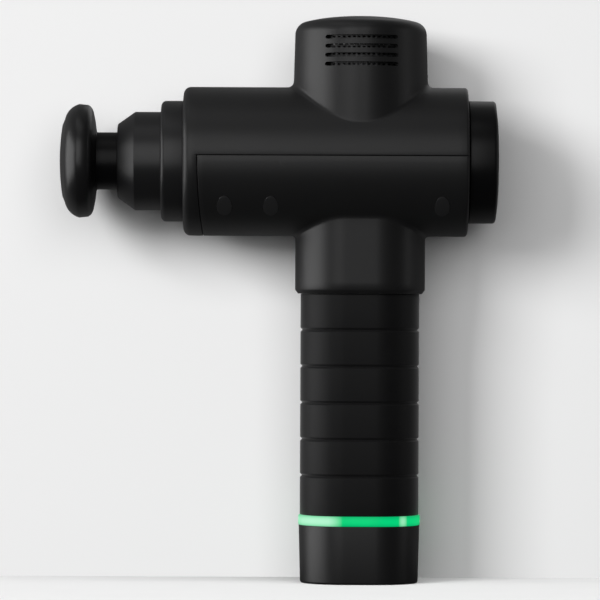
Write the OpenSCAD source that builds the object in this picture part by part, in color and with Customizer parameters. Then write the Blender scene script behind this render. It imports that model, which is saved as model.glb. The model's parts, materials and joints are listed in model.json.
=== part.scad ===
// Percussion massage gun with a cylindrical body, a motor dome and an upright handle.
// Origin: centre of the flat base. +Z runs up the handle, the massage head points to -X.

/* [Handle] */
// Half the flat width of the handle's oblong section, which has round sides
handle_flat = 6.2; // [5.8:0.1:6.4]
// Radius of the round sides of the rubber grip sleeve
grip_r = 18.3; // [17.9:0.1:18.4]
// Height of the base cap
base_h = 23.9; // [22:0.1:24]
// Radius of the base cap's round sides
base_r = 18.7; // [18.3:0.1:18.7]
// Height of the glowing ring above the base cap
light_h = 4.1; // [4:0.1:4.4]
// Radius of the glowing ring's round sides
light_r = 18.9; // [18.7:0.1:19.2]
// Height of the grip's upper end above the base
grip_top = 119.2; // [117:0.1:122]
// Distance between the grooves of the grip
groove_pitch = 15.0; // [14:0.1:15.2]

/* [Body] */
// Height of the body's axis above the base
axis_z = 173.6; // [173:0.1:175]
// Outer radius of the body
body_r = 30.7; // [30.4:0.1:31.5]
// Distance from the handle's axis to the body's front face
body_front = 73; // [72:0.1:74]
// Distance from the handle's axis to the body's rear face
body_rear = 44; // [43.5:0.1:44]
// Height of the shell seam above the body's axis
seam_rise = 1.7; // [1:0.1:2.5]
// Wall thickness of the shells
wall = 2.5; // [2.3:0.1:2.6]
// Radius of the round sides of the neck under the body
neck_r = 20.6; // [20.4:0.1:20.9]

/* [Motor dome] */
// Radius of the dome's round sides
dome_r = 26.1; // [26:0.1:26.6]
// Half the flat width of the dome's section
dome_flat = 1.3; // [0.5:0.1:2]
// Height of the dome's top above the base
dome_top = 233.6; // [231:0.1:235]
// Number of vent slots on each side
vent_count = 4; // [2:1:4]
// Height of one vent slot
vent_h = 1.65; // [1.4:0.05:1.8]
// Length of a vent slot
vent_length = 29.9; // [26:0.1:31]

/* [Nose] */
// Distance from the handle's axis to the nose's tip
nose_tip = 100.2; // [99.8:0.1:100.6]
// Outer radius of the nose
nose_r = 20.3; // [20.2:0.1:21]
// Distance from the handle's axis to the collar's front face
collar_front = 82.2; // [81:0.1:83]
// Outer radius of the collar
collar_r = 24.9; // [24:0.1:26]

/* [Massage head] */
// Distance from the handle's axis to the head's front, at mid stroke
head_front = 124.1; // [123:0.1:126]
// Radius of the flat head
head_r = 23.45; // [22:0.05:25]
// Radius of the stem that shows between head and nose
stem_r = 11.8; // [11.6:0.1:11.8]

/* [Drive] */
// Full stroke of the massage head
stroke = 14; // [12:0.5:14]
// Outer radius of the reciprocating shaft
shaft_r = 12.5; // [12.3:0.1:12.6]
// Radius of the socket that takes the head
socket_r = 10.5; // [10.3:0.1:10.6]
// Radius of the roller on the crank pin
roller_r = 5; // [4.5:0.1:5]
// Outer radius of the motor's rotor
rotor_r = 20; // [19.5:0.1:20.5]

/* [Dial] */
// Distance from the handle's axis to the dial's rear face
dial_rear = 56.4; // [56:0.1:57]
// Outer radius of the dial
dial_r = 25.3; // [25:0.1:26]
// Travel of the button in the dial's centre
button_travel = 0.8; // [0.5:0.1:0.8]

/* [Battery] */
// Radius of one round cell
cell_r = 9.15; // [9.1:0.05:9.2]
// Length of one round cell
cell_h = 65; // [64:0.5:65]

/* [Hidden] */
$fn = 96;
cut = 1;                      // how far a cutting tool runs past the face it cuts
crank_r = stroke / 2;
seam_z = axis_z + seam_rise;
inner_r = body_r - wall;
dome_inner_r = dome_r - 2.7;
neck_inner_r = neck_r - wall;
neck_socket_top = 136;        // top of the neck's thick part, which holds the handle tube
dome_inner_top = dome_top - 3;
tube_r = 16.3;
tube_inner_r = 14.8;
tube_top = 134;
grip_bottom = base_h + light_h;
groove_count = 5;
groove_z = [for (i = [0 : groove_count - 1]) grip_top - groove_pitch * (i + 1) + 0.1];
vent_z = [for (i = [0 : vent_count - 1]) 223.9 - 3.67 * i];
shell_screw_x = [-55.8, -36.9, 33];
shell_screw_y = 23.8;
plug_r = 3.2;
seam_arc_r = 250;             // the lower shell's front edge is a shallow arc
seam_front_x = -66.9;
base_screw_y = 12;
cell_x = 9.35;
cell_layers = [30, 30 + cell_h + 2];
jack_x = 12;
jack_recess_r = 6.5;
jack_face_z = 5;
shaft_front = -88;            // front rim of the reciprocating shaft at mid stroke
shaft_rear = -26;
socket_depth = 30;
bush_wall = 2;
guide_r = 18;
guide_front = -80;
bulkhead_x = -31.5;
yoke_wall = 4;
yoke_clearance = 1.7;
yoke_half_x = roller_r + yoke_clearance + yoke_wall;
yoke_slot_y = crank_r + roller_r + 1;
yoke_half_z = 5;
plate_z = 187;                // underside of the frame's motor plate
plate_t = 3;
motor_z = plate_z + plate_t;
motor_axle_r = 2.5;
pin_r = 3;
running = 0.05;               // radial clearance of a running fit
hub_r = 13.7;
tooth_count = 12;             // teeth of the motor's stator
board_x = 24;
board_post_y = 19.5;
board_post_z = 183.6;

// A ring or tube along Z.
module ring_z(z0, z1, r_out, r_in = 0) {
    difference() {
        translate([0, 0, z0]) cylinder(h = z1 - z0, r = r_out);
        if (r_in > 0)
            translate([0, 0, z0 - cut]) cylinder(h = z1 - z0 + 2 * cut, r = r_in);
    }
}

// The handle's oblong section: round sides of the given radius, set apart by a flat.
module oblong(r, flat = handle_flat) {
    for (side = [-1, 1])
        translate([side * flat, 0]) circle(r = r);
    square([2 * flat, 2 * r], center = true);
}

// An oblong ring, tube or plate along Z.
module oblong_z(z0, z1, r_out, r_in = 0) {
    translate([0, 0, z0]) linear_extrude(z1 - z0) difference() {
        oblong(r_out);
        if (r_in > 0)
            oblong(r_in);
    }
}

// Turns a shape built along Z so that it lies along the body's axis, +Z becoming +X.
module on_body_axis() {
    translate([0, 0, axis_z]) rotate([0, 90, 0]) children();
}

// A ring or tube along the body's axis, from x0 to x1.
module ring_x(x0, x1, r_out, r_in = 0) {
    on_body_axis() ring_z(x0, x1, r_out, r_in);
}

// Half the outline of a post: its outer corners are rounded at both ends.
module post_outline(z0, z1, r, round_0, round_1) {
    translate([0, z0 + round_0]) square([r, z1 - z0 - round_0 - round_1]);
    translate([0, z0]) square([r - round_0, round_0]);
    translate([0, z1 - round_1]) square([r - round_1, round_1]);
    translate([r - round_0, z0 + round_0]) intersection() {
        circle(r = round_0);
        translate([0, -round_0]) square(round_0);
    }
    translate([r - round_1, z1 - round_1]) intersection() {
        circle(r = round_1);
        square(round_1);
    }
}

module rounded_post(z0, z1, r, round_0, round_1) {
    rotate_extrude() post_outline(z0, z1, r, round_0, round_1);
}

// A post with an oblong section and rounded outer edges at both ends.
module oblong_post(z0, z1, r, round_0, round_1, flat = handle_flat) {
    for (side = [-1, 1])
        translate([side * flat, 0, 0]) rounded_post(z0, z1, r, round_0, round_1);
    for (turn = [90, -90])
        rotate([0, 0, turn]) rotate([90, 0, 0])
            linear_extrude(2 * flat, center = true) post_outline(z0, z1, r, round_0, round_1);
}

// A pan-head screw along Z: the head's top at head_z, the shank going up to tip_z.
module screw(head_z, head_h, head_radius, shank_r, tip_z) {
    difference() {
        translate([0, 0, head_z]) cylinder(h = head_h, r = head_radius);
        translate([0, 0, head_z - cut]) cylinder(h = cut + head_h / 2, r = head_radius / 2, $fn = 6);
    }
    translate([0, 0, head_z + head_h]) cylinder(h = tip_z - head_z - head_h, r = shank_r);
}

// Places its children at each shell screw, on both sides of the body.
module at_shell_screws() {
    for (x = shell_screw_x, side = [-1, 1])
        translate([x, side * shell_screw_y, 0]) children();
}

module shell_outside() {
    on_body_axis() rounded_post(-body_front, body_rear, body_r, 2.5, 1.2);
    oblong_post(axis_z, dome_top, dome_r, 0.5, 3.6, dome_flat);
    oblong_post(grip_top, axis_z, neck_r, 1.2, 0.5);
}

module shell_inside() {
    ring_x(-body_front + wall, body_rear - wall, inner_r);
    oblong_z(neck_socket_top, axis_z, neck_inner_r);
    oblong_z(grip_top - cut, neck_socket_top + cut, tube_r);
    translate([0, 0, axis_z]) linear_extrude(dome_inner_top - axis_z)
        oblong(dome_inner_r, dome_flat);
    ring_x(-body_front - cut, -body_front + wall + cut, nose_r);
    ring_x(body_rear - wall - cut, body_rear + cut, hub_r + 0.5);
}

module lower_region() {
    intersection() {
        translate([-2 * body_front, -2 * body_r, 0]) cube([4 * body_front, 4 * body_r, seam_z]);
        translate([seam_front_x + seam_arc_r, 2 * body_r, seam_z])
            rotate([90, 0, 0]) cylinder(h = 4 * body_r, r = seam_arc_r, $fn = 180);
    }
}

module vent_slots() {
    for (z = vent_z, side = [-1, 1])
        translate([-vent_length / 2, side > 0 ? 15 : -15 - dome_r, z - vent_h / 2])
            cube([vent_length, dome_r, vent_h]);
}

module upper_shell() {
    color("#2b2c2e") difference() {
        union() {
            difference() {
                shell_outside();
                shell_inside();
            }
            intersection() {
                at_shell_screws() ring_z(seam_z, axis_z + 16, 3.5);
                ring_x(-body_front, body_rear, inner_r + 0.5);
            }
            for (side = [-1, 1])
                translate([0, side * board_post_y, board_post_z]) rotate([0, 90, 0])
                    ring_z(board_x + 1.6, body_rear - wall + 0.5, 2.5);
        }
        lower_region();
        vent_slots();
        at_shell_screws() ring_z(seam_z - cut, axis_z + 13, 1.5);
        for (side = [-1, 1])
            translate([0, side * board_post_y, board_post_z]) rotate([0, 90, 0])
                ring_z(board_x, board_x + 10, 1);
    }
}

module lower_shell() {
    color("#28292b") difference() {
        intersection() {
            union() {
                difference() {
                    shell_outside();
                    shell_inside();
                }
                intersection() {
                    at_shell_screws() ring_z(axis_z - inner_r, seam_z, 4.4);
                    ring_x(-body_front, body_rear, inner_r + 0.5);
                }
            }
            lower_region();
        }
        at_shell_screws() ring_z(axis_z - body_r, axis_z - 6.6, plug_r + 0.05);
        at_shell_screws() ring_z(axis_z - 7, seam_z + cut, 1.7);
    }
}

module collar_ring() {
    color("#303134") difference() {
        on_body_axis() rounded_post(-collar_front, -body_front, collar_r, 2, 0.4);
        ring_x(-collar_front - cut, -body_front + cut, nose_r);
    }
}

module nose_cone() {
    chamfer_x = 8.5;
    chamfer_r = 5.3;
    flange = [[0, -body_front + wall], [nose_r + 3.7, -body_front + wall],
              [nose_r + 3.7, -body_front + wall + 2.5], [0, -body_front + wall + 2.5]];
    color("#37383b") difference() {
        on_body_axis() rotate_extrude() {
            polygon([[0, -nose_tip], [nose_r - chamfer_r, -nose_tip],
                     [nose_r, -nose_tip + chamfer_x], [nose_r, -body_front + wall],
                     [0, -body_front + wall]]);
            polygon(flange);
        }
        ring_x(-nose_tip - cut, -nose_tip + 1, 12.6);
        ring_x(-nose_tip + 1, -nose_tip + 3.6, 14.5);
        ring_x(-nose_tip + 3.5, guide_front, shaft_r + 0.7);
        ring_x(guide_front, -body_front + wall + 2.5 + cut, guide_r + 0.2);
    }
}

module nose_seal() {
    color("#101010") difference() {
        ring_x(-nose_tip + 1.1, -nose_tip + 3.5, 14.5, stem_r + 0.3);
        on_body_axis() rotate_extrude()
            translate([14.5, -nose_tip + 2.3]) circle(r = 0.7, $fn = 32);
    }
}

module vent_screens() {
    sheet_t = 0.4;
    low_z = vent_z[vent_count - 1] - 2.5;
    color("#3c3d40") intersection() {
        translate([0, 0, low_z]) linear_extrude(vent_z[0] + 2.5 - low_z) difference() {
            oblong(dome_inner_r, dome_flat);
            oblong(dome_inner_r - sheet_t, dome_flat);
        }
        translate([-vent_length / 2 - 2, -dome_r, low_z - cut])
            cube([vent_length + 4, 2 * dome_r, 2 * dome_r]);
    }
}

module grip_sleeve() {
    groove_w = 1.6;
    groove_depth = 0.8;
    color("#232426") difference() {
        oblong_z(grip_bottom, grip_top, grip_r, tube_r);
        for (z = groove_z)
            oblong_z(z - groove_w / 2, z + groove_w / 2, grip_r + cut, grip_r - groove_depth);
    }
}

module at_base_screws() {
    for (side = [-1, 1])
        translate([0, side * base_screw_y, 0]) children();
}

module handle_tube() {
    boss_h = 16;
    color("#3a3b3d") difference() {
        union() {
            oblong_z(grip_bottom, tube_top, tube_r, tube_inner_r);
            at_base_screws() ring_z(grip_bottom, grip_bottom + boss_h, 3);
        }
        at_base_screws() ring_z(grip_bottom - cut, grip_bottom + boss_h - 2, 1.3);
    }
}

module light_ring() {
    color("#00d97a") difference() {
        oblong_post(base_h, grip_bottom, light_r, 0.4, 0.4);
        oblong_z(base_h - cut, grip_bottom + cut, tube_inner_r);
    }
}

module light_board() {
    color("#16402c") difference() {
        oblong_z(base_h + 0.4, base_h + 1.6, tube_inner_r - 0.2, 8);
        at_base_screws() ring_z(base_h, base_h + 2, 1.6);
    }
}

module light_leds() {
    led_x = [-10.5, -5, 5, 10.5];
    color("#e8ffe8") {
        for (x = led_x, side = [-1, 1])
            translate([x - 1.4, side * 12.4 - 0.7, base_h + 1.6]) cube([2.8, 1.4, 0.9]);
        for (side = [-1, 1])
            translate([side * 19 - 0.7, -1.4, base_h + 1.6]) cube([1.4, 2.8, 0.9]);
    }
}

module base_cap() {
    floor_h = 3;
    cap_wall = 2.2;
    color("#2c2d30") difference() {
        union() {
            difference() {
                oblong_post(0, base_h, base_r, 1, 0.1);
                oblong_z(floor_h, base_h + cut, base_r - cap_wall);
            }
            translate([jack_x, 0, 0]) ring_z(1, jack_face_z + 2, jack_recess_r + 1.5);
            at_base_screws() ring_z(1, 6, 4.2);
        }
        translate([jack_x, 0, 0]) ring_z(-cut, jack_face_z, jack_recess_r);
        translate([jack_x, 0, 0]) ring_z(jack_face_z - cut, jack_face_z + 2 + cut, 5.5);
        at_base_screws() {
            ring_z(-cut, 3.6, 3.2);
            ring_z(3, 6 + cut, 1.6);
        }
    }
}

module base_screws() {
    color("#6a6c70") at_base_screws() screw(1.6, 2, 2.8, 1.25, 40);
}

module charge_socket() {
    color("#151515") translate([jack_x, 0, 0]) difference() {
        ring_z(jack_face_z, 16, 5.5);
        ring_z(jack_face_z - cut, 14, 2.8);
    }
    color("silver") translate([jack_x, 0, 0]) ring_z(jack_face_z + 1, 14, 1.05);
}

module battery_board() {
    color("#16402c") {
        translate([-11, 10.6, 50]) cube([22, 1.4, 41]);
        translate([-6, 12, 82]) cube([8, 1.2, 6]);
        translate([1, 12, 66]) cube([5, 1.2, 5]);
    }
}

module at_cells() {
    for (side = [-1, 1])
        translate([side * cell_x, 0, 0]) children();
}

module battery_cells() {
    color("#2f7fb8") for (z = cell_layers)
        at_cells() {
            ring_z(z, z + cell_h - 1, cell_r);
            ring_z(z + cell_h - 1, z + cell_h, cell_r - 4);
        }
}

// A plate with pockets for two cells, from z0 to z1, solid between p0 and p1.
module cell_plate(z0, z1, p0, p1) {
    difference() {
        oblong_z(z0, z1, tube_inner_r - 0.2);
        at_cells() {
            if (p0 > z0)
                ring_z(z0 - cut, p0, cell_r + 0.05);
            if (z1 > p1)
                ring_z(p1, z1 + cut, cell_r + 0.05);
        }
        if (z0 < grip_bottom + 16)
            at_base_screws() ring_z(z0 - cut, z1 + cut, 3.2);
    }
}

module cell_holders() {
    low = cell_layers[0];
    mid = low + cell_h;
    top = cell_layers[1] + cell_h;
    color("#c9c9c4") {
        cell_plate(low - 1.4, low + 4, low - 1.4, low - 0.4);
        cell_plate(mid - 2, mid + 4, mid + 0.4, mid + 1.6);
        intersection() {
            cell_plate(top - 3, top + 1.4, top + 0.4, top + 1.4);
            translate([-18.8, -base_r, top - 4]) cube([37.6, 2 * base_r, 8]);
        }
    }
}

module cell_straps() {
    low = cell_layers[0];
    mid = low + cell_h;
    top = cell_layers[1] + cell_h;
    color("#b8b8b0") for (z = [low - 0.4, mid, mid + 1.6, top])
        at_cells() translate([-3.5, -3, z]) cube([7, 6, 0.4]);
}

// Points of a ring of the given radius round the point p, in the plane across direction d.
function cross_ring(p, d, r, sides) =
    let (n = d / norm(d),
         helper = abs(n.z) > 0.9 ? [1, 0, 0] : [0, 0, 1],
         u = cross(n, helper) / norm(cross(n, helper)),
         v = cross(n, u))
    [for (i = [0 : sides - 1]) p + r * (cos(360 * i / sides) * u + sin(360 * i / sides) * v)];

// A wire swept along a short list of points.
module wire(path, r, sides = 8) {
    last = len(path) - 1;
    rings = [for (i = [0 : last])
                 cross_ring(path[i], path[min(i + 1, last)] - path[max(i - 1, 0)], r, sides)];
    points = [for (one = rings) each one];
    walls = [for (i = [0 : last - 1], k = [0 : sides - 1])
                 [i * sides + k, i * sides + (k + 1) % sides,
                  (i + 1) * sides + (k + 1) % sides, (i + 1) * sides + k]];
    ends = [[for (k = [sides - 1 : -1 : 0]) k], [for (k = [0 : sides - 1]) last * sides + k]];
    polyhedron(points = points, faces = concat(walls, ends));
}

module battery_leads() {
    color("#a02020") for (y = [6, 10])
        wire([[13, y, 164.3], [17, y, 164.6], [19.6, y, 165.6], [21.3, y, 167.4],
              [22.2, y, 169.6], [22.8, y, 172], [23.9, y, 174]], 0.8);
}

module drive_frame() {
    side_y = 18.5;
    side_t = 3;
    color("#9a9da1") difference() {
        union() {
            ring_x(guide_front, bulkhead_x + 1, guide_r);
            ring_x(bulkhead_x, bulkhead_x + 3.5, inner_r - 0.3);
            for (side = [-1, 1])
                translate([bulkhead_x + 3, side > 0 ? side_y : -side_y - side_t, axis_z - 8.6])
                    cube([22 - bulkhead_x - 3, side_t, plate_z + plate_t - axis_z + 8.6]);
            translate([bulkhead_x + 3, -side_y - side_t, plate_z])
                cube([22 - bulkhead_x - 3, 2 * (side_y + side_t), plate_t]);
        }
        ring_x(guide_front - cut, bulkhead_x - 1, shaft_r + running + bush_wall);
        ring_x(bulkhead_x - 1.5, bulkhead_x + 3.5 + cut, shaft_r + 0.5);
        ring_z(plate_z - cut, motor_z + cut, 7);
        at_motor_screws() {
            ring_z(plate_z - cut, plate_z + 1.6, 2.8);
            ring_z(plate_z, motor_z + cut, 1.4);
        }
    }
}

module guide_bushes() {
    color("#b08a4a") for (x = [guide_front + 1, bulkhead_x - 17.5])
        ring_x(x, x + 16, shaft_r + running + bush_wall, shaft_r + running);
}

module frame_dampers() {
    color("#151515") for (x = [-66.5, -49])
        difference() {
            ring_x(x, x + 5, inner_r, guide_r);
            for (i = [0 : 11])
                on_body_axis() rotate([0, 0, 30 * i]) translate([(inner_r + guide_r) / 2, 0, 0])
                    ring_z(x - cut, x + 5 + cut, 1.8);
        }
}

module at_motor_screws() {
    for (a = [45 : 90 : 315])
        rotate([0, 0, a]) translate([13, 0, 0]) children();
}

module motor_base() {
    color("#8c8f94") difference() {
        union() {
            ring_z(motor_z, motor_z + 2.5, 18.8);
            ring_z(motor_z, motor_z + 21, 7);
        }
        ring_z(motor_z - cut, motor_z + 21 + cut, 4);
        ring_z(motor_z - cut, motor_z + 5, 5.5);
        ring_z(motor_z + 16, motor_z + 21 + cut, 5.5);
        at_motor_screws() ring_z(motor_z - cut, motor_z + 2.5 + cut, 1.3);
    }
}

module motor_bearings() {
    color("#c8cacd") for (z = [motor_z + 0.5, motor_z + 16])
        ring_z(z, z + 4.5, 5.5, motor_axle_r + running);
}

module motor_core() {
    color("#5b5d60") {
        difference() {
            union() {
                ring_z(motor_z + 6, motor_z + 18, 10);
                for (i = [0 : tooth_count - 1])
                    rotate([0, 0, 360 / tooth_count * i]) translate([9, -1, motor_z + 6]) cube([6.5, 2, 12]);
            }
            ring_z(motor_z, motor_z + 20, 7);
        }
        for (i = [0 : tooth_count - 1])
            rotate([0, 0, 360 / tooth_count * i - 12]) rotate_extrude(angle = 24)
                translate([15.4, motor_z + 6]) square([1.2, 12]);
    }
}

module motor_windings() {
    color("#b5622e") for (i = [0 : tooth_count - 1])
        rotate([0, 0, 360 / tooth_count * i]) difference() {
            translate([10.8, -2.2, motor_z + 4.6]) cube([4.3, 4.4, 14.8]);
            translate([10, -1, motor_z + 6]) cube([6, 2, 12]);
        }
}

module motor_screws() {
    color("#5a5c60") at_motor_screws() screw(plate_z + 0.1, 1.5, 2.6, 1.25, motor_z + 2.4);
}

module motor_leads() {
    color("#d8b020") for (y = [-3, 0, 3])
        wire([[19, y, motor_z + 3.4], [21, y, motor_z + 3.4], [22.6, y, motor_z + 2.4],
              [23.2, y, motor_z + 0.6], [23.3, y, motor_z - 2], [23.3, y, motor_z - 5]], 0.6);
}

module rotor_can() {
    color("#4a4c50") difference() {
        union() {
            ring_z(motor_z + 4.4, motor_z + 22, rotor_r, rotor_r - 1.4);
            ring_z(motor_z + 21.6, motor_z + 23.2, rotor_r);
            ring_z(motor_z + 21.4, motor_z + 23.4, 5);
        }
        ring_z(motor_z + 20, motor_z + 25, motor_axle_r);
        for (a = [0 : 60 : 300])
            rotate([0, 0, a]) translate([12, 0, 0]) ring_z(motor_z + 20, motor_z + 25, 3.2);
    }
}

module rotor_magnets() {
    magnet_count = 14;
    color("#7d7f83") for (i = [0 : magnet_count - 1])
        rotate([0, 0, 360 / magnet_count * i]) rotate_extrude(angle = 23)
            translate([rotor_r - 2.9, motor_z + 6]) square([1.5, 12]);
}

module motor_axle() {
    color("#d0d2d5") ring_z(plate_z - 6, motor_z + 31, motor_axle_r);
}

module cooling_fan() {
    blade_count = 11;
    color("#1d1d1f") {
        difference() {
            union() {
                ring_z(motor_z + 23.5, motor_z + 24.5, 18);
                ring_z(motor_z + 23.5, motor_z + 31, 5);
            }
            ring_z(motor_z + 23, motor_z + 32, motor_axle_r);
        }
        for (i = [0 : blade_count - 1])
            rotate([0, 0, 360 / blade_count * i]) translate([9, 0, 0]) rotate([0, 0, 25])
                translate([0, -0.5, motor_z + 24.3]) cube([9, 1, 6]);
    }
}

module crank_disc() {
    color("#8d9095") difference() {
        union() {
            ring_z(plate_z - 6, plate_z - 0.6, 11.5);
            intersection() {
                ring_z(plate_z - 6, plate_z - 0.6, 16.5);
                translate([-20, -20, plate_z - 8]) cube([40, 18, 10]);
            }
        }
        ring_z(plate_z - 7, plate_z, motor_axle_r);
        translate([0, crank_r, 0]) ring_z(plate_z - 7, plate_z, pin_r);
    }
}

module crank_pin() {
    color("#d5d7da") translate([0, crank_r, 0]) {
        ring_z(axis_z - 4.6, plate_z - 0.6, pin_r);
        ring_z(axis_z - 5.2, axis_z - 4.6, pin_r - 0.5);
        ring_z(axis_z - 5.8, axis_z - 5.2, pin_r);
        ring_z(axis_z + 4.8, plate_z - 6, pin_r + 1);
    }
}

module roller_clip() {
    color("#55575a") translate([0, crank_r, 0]) difference() {
        ring_z(axis_z - 5.15, axis_z - 4.65, 4.4, pin_r - 0.5);
        translate([-0.8, 0, axis_z - 6]) cube([1.6, 6, 2]);
    }
}

module pin_roller() {
    color("#c4c6c9") translate([0, crank_r, 0])
        ring_z(axis_z - 4.4, axis_z + 4.5, roller_r, pin_r + running);
}

module drive_shaft() {
    color("#7a7c80") difference() {
        union() {
            ring_x(shaft_front, shaft_rear, shaft_r);
            ring_x(shaft_rear, -yoke_half_x, 7);
            ring_x(-yoke_half_x, -yoke_half_x + yoke_wall - 0.2, 4);
        }
        ring_x(shaft_front - cut, shaft_front + socket_depth, socket_r);
        ring_x(shaft_front + socket_depth + 3, -yoke_half_x - 8, 5);
    }
}

module shaft_yoke() {
    block_y = yoke_slot_y + 3.5;
    color("#6f7276") difference() {
        translate([-yoke_half_x, -block_y, axis_z - yoke_half_z])
            cube([2 * yoke_half_x, 2 * block_y, 2 * yoke_half_z]);
        translate([-yoke_half_x + yoke_wall, -yoke_slot_y, axis_z - yoke_half_z - cut])
            cube([2 * (yoke_half_x - yoke_wall), 2 * yoke_slot_y, 2 * (yoke_half_z + cut)]);
        ring_x(-yoke_half_x - cut, -yoke_half_x + yoke_wall + cut, 4);
    }
}

plug_length = 27;
o_ring_x = [shaft_front + 8, shaft_front + 20];
head_back = -head_front + 15.4;

module head_stem() {
    color("#141416") difference() {
        union() {
            ring_x(head_back - 8, shaft_front - 0.1, stem_r);
            on_body_axis() rounded_post(shaft_front - 0.2, shaft_front + plug_length,
                                        socket_r - 0.1, 0.01, 1.5);
        }
        for (x = o_ring_x)
            ring_x(x, x + 2.4, socket_r + cut, socket_r - 1.9);
        ring_x(shaft_front - 4, shaft_front + plug_length + cut, 6);
    }
}

module head_pad() {
    face_r = 95;
    edge_r = 8;
    edge_x = -head_front + 9.5;
    color("#3a3b3e") difference() {
        on_body_axis() rotate_extrude() intersection() {
            translate([0, -head_front + face_r]) circle(r = face_r, $fn = 360);
            union() {
                translate([0, -head_front]) square([head_r - edge_r, 15.4]);
                translate([head_r - edge_r, edge_x]) circle(r = edge_r);
            }
            polygon([[0, -head_front], [head_r, -head_front], [head_r, edge_x],
                     [head_r - 0.8, edge_x + 2.1], [head_r - 2.6, edge_x + 3.3],
                     [13, head_back - 0.7], [stem_r, head_back], [0, head_back]]);
        }
        ring_x(head_back - 8, head_back + cut, stem_r);
    }
}

module head_o_rings() {
    color("#0c0c0c") for (x = o_ring_x)
        on_body_axis() rotate_extrude()
            translate([socket_r - 1.0, x + 1.2]) circle(r = 0.9, $fn = 32);
}

module dial_ring() {
    front_x = body_rear + 0.5;
    color("#1c1d1f") difference() {
        on_body_axis() rotate_extrude()
            polygon([[14, front_x], [dial_r, front_x], [dial_r, dial_rear - 2.2],
                     [dial_r - 0.5, dial_rear - 1.2], [dial_r - 1.6, dial_rear - 0.6],
                     [18, dial_rear], [16, dial_rear - 0.2], [15.3, dial_rear - 0.9],
                     [15.3, dial_rear - 2.8], [14, dial_rear - 2.8]]);
        ring_x(front_x - cut, dial_rear - 3.6, dial_r - 2.4, 16);
    }
}

module encoder_ring() {
    color("#4b4b4d") ring_x(body_rear + 0.8, body_rear + 2.8, 18.4, 16);
}

module dial_hub() {
    face_x = dial_rear - 1;
    color("#242527") difference() {
        union() {
            ring_x(body_rear - wall - 3.5, body_rear - wall, 19);
            ring_x(body_rear - wall, face_x, hub_r);
            ring_x(face_x - 1.5, face_x, hub_r + 1.3);
        }
        ring_x(body_rear - wall - 3.5 - cut, body_rear + 2, 6);
        ring_x(body_rear + 2 - cut, face_x, 3.3);
        ring_x(face_x - 5.9, face_x + cut, 9.3);
        at_hub_screws() ring_z(body_rear - wall - 3.5 - cut, body_rear - wall + cut, 1.4);
        at_speed_lights() ring_z(face_x - 2.5, face_x + cut, 0.9);
    }
}

module at_hub_screws() {
    on_body_axis() for (a = [0, 120, 240])
        rotate([0, 0, a]) translate([16.8, 0, 0]) children();
}

module hub_screws() {
    color("#5a5c60") at_hub_screws() {
        ring_z(body_rear - wall - 5.3, body_rear - wall - 3.5, 2);
        ring_z(body_rear - wall - 3.5, body_rear - wall - 0.1, 1.2);
    }
}

module at_speed_lights() {
    on_body_axis() for (i = [-2 : 2])
        rotate([0, 0, 180 + 24 * i]) translate([11.5, 0, 0]) children();
}

module speed_lights() {
    color("#9fe8c4") at_speed_lights() ring_z(dial_rear - 3.5, dial_rear - 0.95, 0.9);
}

module control_board() {
    back_x = body_rear - wall - 3.5;
    color("#16402c") {
        ring_x(back_x - 1.6, back_x, 14.4);
        translate([back_x - 3, -7, axis_z - 6]) cube([1.4, 7, 7]);
        translate([back_x - 2.6, 4, axis_z + 2]) cube([1, 4, 3]);
    }
}

module button_switch() {
    back_x = body_rear - wall - 3.5;
    color("#505257") {
        translate([back_x, -3, axis_z - 3]) cube([3.3, 6, 6]);
        ring_x(back_x + 3.3, back_x + 4, 1.6);
    }
}

module power_button() {
    stem_end = body_rear - wall + 0.5 + button_travel + 0.1;
    color("#2e2f32") {
        on_body_axis() rounded_post(dial_rear - 5.9, dial_rear - 0.4, 9, 0.3, 0.8);
        ring_x(stem_end, dial_rear - 5.9, 3);
    }
}

module driver_board() {
    color("#16402c") difference() {
        translate([board_x, -21.8, axis_z - 7]) cube([1.6, 43.6, 19]);
        for (side = [-1, 1])
            translate([0, side * board_post_y, board_post_z]) rotate([0, 90, 0])
                ring_z(board_x - cut, board_x + 3, 1.2);
    }
    color("#202020") {
        for (i = [0 : 5])
            translate([board_x + 1.6, -14 + 5 * i, axis_z - 4]) cube([1.1, 3.6, 5]);
        translate([board_x + 1.6, 0, axis_z + 5]) rotate([0, 90, 0]) cylinder(h = 8, r = 3.5);
    }
}

module board_screws() {
    color("#5a5c60") for (side = [-1, 1])
        translate([0, side * board_post_y, board_post_z]) rotate([0, 90, 0])
            screw(board_x - 1.5, 1.5, 1.9, 0.95, board_x + 9);
}

module shell_screws() {
    color("#5a5c60") at_shell_screws() screw(axis_z - 9, 2.4, 2.8, 1.45, axis_z + 12);
}

module screw_plugs() {
    color("#3d3e41") intersection() {
        at_shell_screws() ring_z(axis_z - body_r, axis_z - 11.4, plug_r);
        ring_x(-body_front, body_rear, body_r - 0.25);
    }
}

upper_shell();
lower_shell();
collar_ring();
nose_cone();
nose_seal();
vent_screens();
grip_sleeve();
handle_tube();
light_ring();
light_board();
light_leds();
base_cap();
base_screws();
charge_socket();
battery_board();
battery_cells();
cell_holders();
cell_straps();
battery_leads();
drive_frame();
guide_bushes();
frame_dampers();
motor_base();
motor_bearings();
motor_core();
motor_windings();
motor_screws();
motor_leads();
rotor_can();
rotor_magnets();
motor_axle();
cooling_fan();
crank_disc();
crank_pin();
roller_clip();
pin_roller();
drive_shaft();
shaft_yoke();
head_stem();
head_pad();
head_o_rings();
dial_ring();
encoder_ring();
dial_hub();
hub_screws();
speed_lights();
control_board();
button_switch();
power_button();
driver_board();
board_screws();
shell_screws();
screw_plugs();
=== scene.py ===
import json
import math

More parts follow.
